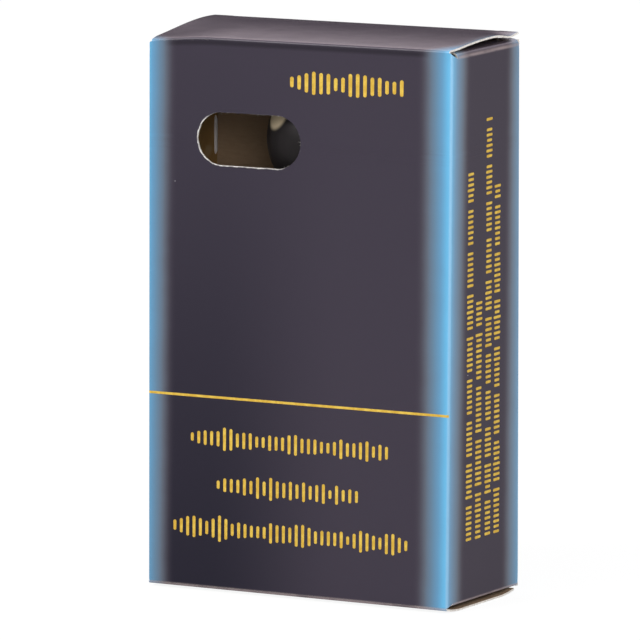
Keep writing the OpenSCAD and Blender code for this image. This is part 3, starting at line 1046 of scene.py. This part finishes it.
def rib_tree(finish):
    """Upright ribs with round ends, evenly round a circle."""
    tree, radius, height, width, proud, middle, count = new_group(
        "ribs round a circle", "Radius Height Width Proud Middle", "Count")
    ring = node(tree, "GeometryNodeMeshCircle", {"Vertices": count, "Radius": radius})
    turn = node(tree, "GeometryNodeInputIndex") * (2 * math.pi) / count
    bead = node(tree, "GeometryNodeMeshUVSphere", {"Segments": 8, "Rings": 8, "Radius": 0.5})
    ribs = node(tree, "GeometryNodeInstanceOnPoints", {
        "Points": ring, "Instance": bead, "Rotation": xyz(tree, Z=turn),
        "Scale": xyz(tree, X=proud * 2, Y=width, Z=height)})
    raised = node(tree, "GeometryNodeTransform", {"Geometry": ribs, "Translation": xyz(tree, Z=middle)})
    return end_group(tree, raised, finish)


tube_ribs = grow(
    "tube_ribs", rib_tree(tube_plastic), Radius=tube_high.x - 0.1 * mm, Count=24, Height=46 * mm,
    Width=1.1 * mm, Proud=0.4 * mm, Middle=tube_low.z + 32 * mm)
tube_ribs.data.shade_smooth()
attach(tube_ribs, "carton")


# ---- The foam plugs ----
# Slow-recovery foam, moulded as bullets with a flared open end. A fine skin
# covers the sides, and small cells show on the cut end.

foam_cell = 0.32 * mm


def plug_foam():
    material, tree = new_material("plug foam")
    spot = on_object(tree)
    cells = node(tree, "ShaderNodeTexVoronoi", {"Vector": spot, "Scale": 1 / foam_cell}, "Distance")
    tone = grain(spot, 3 * mm)
    # Painted shade in the hollows of the foam's cells: the pores are darker.
    pore_shade = 1 - cells.rise(0.05, 0.35)
    colour = mix(tone, paint(236, 160, 48), paint(246, 184, 74))
    colour = overlay(colour, pore_shade * 0.4, 196, 118, 24)
    return finished(material, colour, 0.8 + tone * 0.1, cells + tone, 0.5)


foam = plug_foam()


def lumps(spot):
    """How far moulded foam stands out from its outline."""
    rough = noise.noise(spot / (2.6 * mm)) * 0.09 + noise.noise(spot / (0.7 * mm)) * 0.045
    return (rough * 0.7 - 0.05) * mm


def foam_plug(number):
    """A bullet turned from its outline, with the slight lumps of moulded foam."""
    low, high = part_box(f"ear_plug_{number}")
    flare = (high.x - low.x) / 2
    length = high.z - low.z
    waist = flare * 0.855
    nose = length * 0.302
    body = length - nose
    rim = 0.8 * mm
    outline = [(flare * s, 0) for s in (0.25, 0.5, 0.75)]
    outline += [(flare - rim + rim * math.sin(a), rim - rim * math.cos(a))
                for a in steps(0, math.pi / 2, 0.25)]
    outline += [(waist + (flare - waist) * (1 - share) ** 1.6, rim + share * (body - rim))
                for share in steps(0, 1, 0.05)[1:]]
    outline += [(waist * math.cos(a), body + nose * math.sin(a))
                for a in steps(0, math.pi / 2, 0.11)[1:-1]]
    turns = steps(0, 2 * math.pi, math.pi / 36)[:-1]
    rings = [[(radius * math.cos(a), radius * math.sin(a), low.z + height) for a in turns]
             for radius, height in outline]
    piece = skin(f"foam_plug_{number}", rings, foam, ((0, 0, low.z), (0, 0, high.z)), lumps)
    piece.data.shade_smooth()
    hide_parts(f"ear_plug_{number}")
    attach(piece, "carton")


for number in (1, 2, 3, 4):
    foam_plug(number)


# ---- The leaflet ----
# A sheet of thin uncoated paper, folded to and fro and slipped in on edge
# beside the case. It is blank.

def leaflet_paper():
    material, tree = new_material("leaflet paper")
    spot = on_object(tree)
    fibres = grain(spot, 0.6 * mm, 5)
    cloud = grain(spot, 8 * mm, 2)
    colour = mix(fibres * 0.5 + cloud * 0.5, paint(226, 219, 204), paint(240, 236, 226))
    return finished(material, colour, 0.85 + fibres * 0.1, fibres, 0.3)


paper = 0.1 * mm


def leaflet_tree():
    """The folded line: a straight run along Y, a half turn, the next run back."""
    tree, run, pitch, height, layers, points = new_group(
        "folded leaflet", "Run Pitch Height", "Layers Points")
    last_turn = 5                # points of the half turn that the last layer doesn't need
    line = node(tree, "GeometryNodeMeshLine", {"Count": layers * points - last_turn})
    progress = node(tree, "GeometryNodeInputIndex") / points
    layer = (progress + 0.0001).floor()
    share = (progress - layer).highest(0)
    straight = 0.7               # share of a layer's points that is on its run
    way = 1 - layer % 2.0 * 2
    along = (share / straight).lowest(1)
    turn = ((share - straight) / (1 - straight)).highest(0) * math.pi
    y = way * ((along - 0.5) * run + turn.sine() * pitch * 0.5)
    x = (layer + 0.5 - turn.cosine() * 0.5) * pitch
    folded = node(tree, "GeometryNodeSetPosition", {"Geometry": line, "Position": xyz(tree, X=x, Y=y)})
    path = node(tree, "GeometryNodeMeshToCurve", {"Mesh": folded})
    rise = node(tree, "GeometryNodeCurvePrimitiveLine",
                {"Start": (0.0, 0.0, 0.0), "End": xyz(tree, Y=height)})
    rise = node(tree, "GeometryNodeResampleCurve", {"Curve": rise, "Count": 22})
    sheet = node(tree, "GeometryNodeCurveToMesh", {"Curve": path, "Profile Curve": rise})
    return end_group(tree, sheet, leaflet_paper())


leaf_low, leaf_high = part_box("leaflet")
layers = 6
pitch = (leaf_high.x - leaf_low.x - 2 * paper) / (layers - 1)
leaflet = grow(
    "folded_leaflet", leaflet_tree(), Layers=layers, Run=leaf_high.y - leaf_low.y - pitch - 2 * paper,
    Pitch=pitch, Height=leaf_high.z - leaf_low.z, Points=20)
for vertex in leaflet.data.vertices:
    x, y, z = vertex.co
    wave = noise.noise(Vector((y, z, 0)) / (22 * mm)) * 0.05 * mm
    vertex.co = settle(Vector((leaf_low.x + paper + x + wave, y, leaf_low.z + abs(z))))
thickness = leaflet.modifiers.new("paper", "SOLIDIFY")
thickness.thickness = paper
thickness.offset = 0
keep_modified(leaflet)
leaflet.data.shade_smooth()
leaflet.data.set_sharp_from_angle(angle=math.radians(50))
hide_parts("leaflet")
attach(leaflet, "carton")


# ---- The floor and the light ----
# A white sweep under plain soft studio light.

def shader_mix(share, first, second):
    return node(share.tree, "ShaderNodeMixShader", {0: share, 1: first, 2: second})


def white_floor():
    """White to the eye, with the carton's shadow on it, dimmer in reflections, and
    clear from below so that the carton's bottom can be seen."""
    material, tree = new_material("white floor")
    path = node(tree, "ShaderNodeLightPath", out="Is Camera Ray")
    lit = node(tree, "ShaderNodeBsdfDiffuse", {"Color": (0.86, 0.86, 0.86, 1)})
    white = node(tree, "ShaderNodeEmission", {"Color": (1, 1, 1, 1), "Strength": 1.13})
    dim = node(tree, "ShaderNodeEmission", {"Color": (1, 0.93, 0.96, 1), "Strength": 0.35})
    carton_shadow = 0.2          # share of the floor that takes the carton's shadow
    surface = shader_mix(path * (1 - carton_shadow), lit, white)
    surface = shader_mix(path.other("Is Glossy Ray"), surface, dim)
    from_below = node(tree, "ShaderNodeNewGeometry", out="Backfacing")
    clear = node(tree, "ShaderNodeBsdfTransparent")
    surface = shader_mix(from_below, surface, clear)
    node(tree, "ShaderNodeOutputMaterial", {"Surface": surface})
    return material


floor_mesh = bpy.data.meshes.new("floor")
reach = 4.0
floor_mesh.from_pydata([(-reach, -reach, 0), (reach, -reach, 0), (reach, reach, 0), (-reach, reach, 0)],
                       [], [(0, 1, 2, 3)])
floor_mesh.materials.append(white_floor())
floor = in_scene("floor", floor_mesh)
floor.location.z = -0.02 * mm


def studio_air():
    """White to the eye, an even fill, and in reflections dim near the ground."""
    world = bpy.data.worlds.new("studio")
    world.use_nodes = True
    tree = world.node_tree
    tree.nodes.clear()
    path = node(tree, "ShaderNodeLightPath", out="Is Camera Ray")
    way = node(tree, "ShaderNodeTexCoord", out="Generated")
    up = node(tree, "ShaderNodeSeparateXYZ", {"Vector": way}, "Z")
    fill = node(tree, "ShaderNodeBackground", {"Color": (1, 1, 1, 1), "Strength": 0.42})
    seen = node(tree, "ShaderNodeBackground", {"Color": (1, 1, 1, 1), "Strength": 1.0})
    dim = node(tree, "ShaderNodeBackground",
               {"Color": (1, 0.85, 0.91, 1), "Strength": 0.02 + up.rise(0.19, 0.42) * 1.8})
    both = shader_mix(path.other("Is Glossy Ray"), fill, dim)
    both = shader_mix(path, both, seen)
    node(tree, "ShaderNodeOutputWorld", {"Surface": both})
    return world


bpy.context.scene.world = studio_air()


def softbox(name, at, size, power):
    """A square lamp that looks at the carton's middle."""
    lamp = bpy.data.lights.new(name, "AREA")
    lamp.shape = "RECTANGLE"
    lamp.size = size
    lamp.size_y = size
    lamp.energy = power
    holder = in_scene(name, lamp)
    holder.location = at
    holder.rotation_euler = (Vector((0, 0, 0.05)) - Vector(at)).to_track_quat("-Z", "Y").to_euler()


softbox("key", (-0.7, -1.1, 0.9), 0.9, 11)
softbox("fill", (0.75, -1.25, 0.45), 0.5, 4)
softbox("side", (1.2, 0.1, 0.7), 0.7, 5)

view = bpy.context.scene.view_settings
view.view_transform = "Standard"
